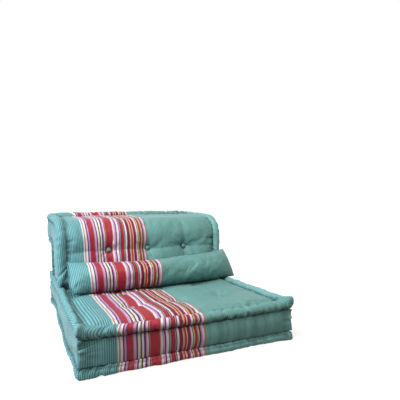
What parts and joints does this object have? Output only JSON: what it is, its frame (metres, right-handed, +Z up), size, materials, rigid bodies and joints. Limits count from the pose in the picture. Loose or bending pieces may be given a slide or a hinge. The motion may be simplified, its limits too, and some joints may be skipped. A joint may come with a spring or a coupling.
{
  "type": "low armless chair",
  "caption": "Low armless floor chair: a tufted mattress seat, a tufted back that curls over to the rear, and a loose lumbar bolster with a concealed zip.",
  "frame": {"origin": "on the floor, in the middle of the chair's outline seen from above", "axes": "+X to the sitter's left as seen from the front on the right, -Y to the seat's front, +Z up"},
  "size_m": [0.95, 1.0428, 0.5378],
  "materials": {
    "teal_cloth": "cotton satin with fine pinstripes",
    "striped_cloth": "teal cotton satin with a woven band of stripes",
    "underside_cloth": "plain teal cotton",
    "foam": "open-cell foam",
    "wadding": "fibre wadding",
    "button_cloth": "cloth-covered button",
    "twine": "waxed twine",
    "zip_tape": "woven tape",
    "zip_chain": "nylon coil",
    "zip_metal": "die-cast"
  },
  "bodies": {
    "seat": {"seat_base_foam": "foam", "seat_comfort_foam": "foam", "seat_top_panel": "striped_cloth", "seat_bottom_panel": "underside_cloth", "seat_border_front": "striped_cloth", "seat_border_rear": "striped_cloth", "seat_border_left": "teal_cloth", "seat_border_right": "teal_cloth", "seat_top_roll_front": "striped_cloth", "seat_top_roll_rear": "striped_cloth", "seat_top_roll_left": "teal_cloth", "seat_top_roll_right": "teal_cloth", "seat_low_roll_front": "striped_cloth", "seat_low_roll_rear": "striped_cloth", "seat_low_roll_left": "teal_cloth", "seat_low_roll_right": "teal_cloth", "seat_top_buttons": "button_cloth", "seat_bottom_buttons": "button_cloth", "seat_twines": "twine"},
    "back": {"back_stem_foam": "foam", "back_head_foam": "foam", "back_face_panel": "striped_cloth", "back_rear_panel": "striped_cloth", "back_border_left": "teal_cloth", "back_border_right": "teal_cloth", "back_border_head": "striped_cloth", "back_border_foot": "underside_cloth", "back_face_roll_left": "teal_cloth", "back_face_roll_right": "teal_cloth", "back_face_roll_top": "striped_cloth", "back_face_roll_foot": "striped_cloth", "back_rear_roll_left": "teal_cloth", "back_rear_roll_right": "teal_cloth", "back_rear_roll_head": "striped_cloth", "back_rear_roll_foot": "striped_cloth", "back_face_buttons": "button_cloth", "back_rear_buttons": "button_cloth", "back_twines": "twine"},
    "bolster": {"bolster_cover_front": "striped_cloth", "bolster_cover_rear": "striped_cloth", "bolster_fill": "wadding", "bolster_zip_tape": "zip_tape", "bolster_zip_chain": "zip_chain"},
    "zip_slider": {"bolster_zip_slider": "zip_metal"}
  },
  "joints": [
    {"name": "back_lift", "type": "slide", "parent": "seat", "child": "back", "axis": [0, 0.342, 0.9397], "range_m": [0, 0.3]},
    {"name": "bolster_lift", "type": "slide", "parent": "seat", "child": "bolster", "axis": [0, -0.6, 0.8], "range_m": [0, 0.25]},
    {"name": "zip_slide", "type": "slide", "parent": "bolster", "child": "zip_slider", "axis": [-0.9999, 0, -0.0122], "range_m": [0, 0.553]}
  ]
}
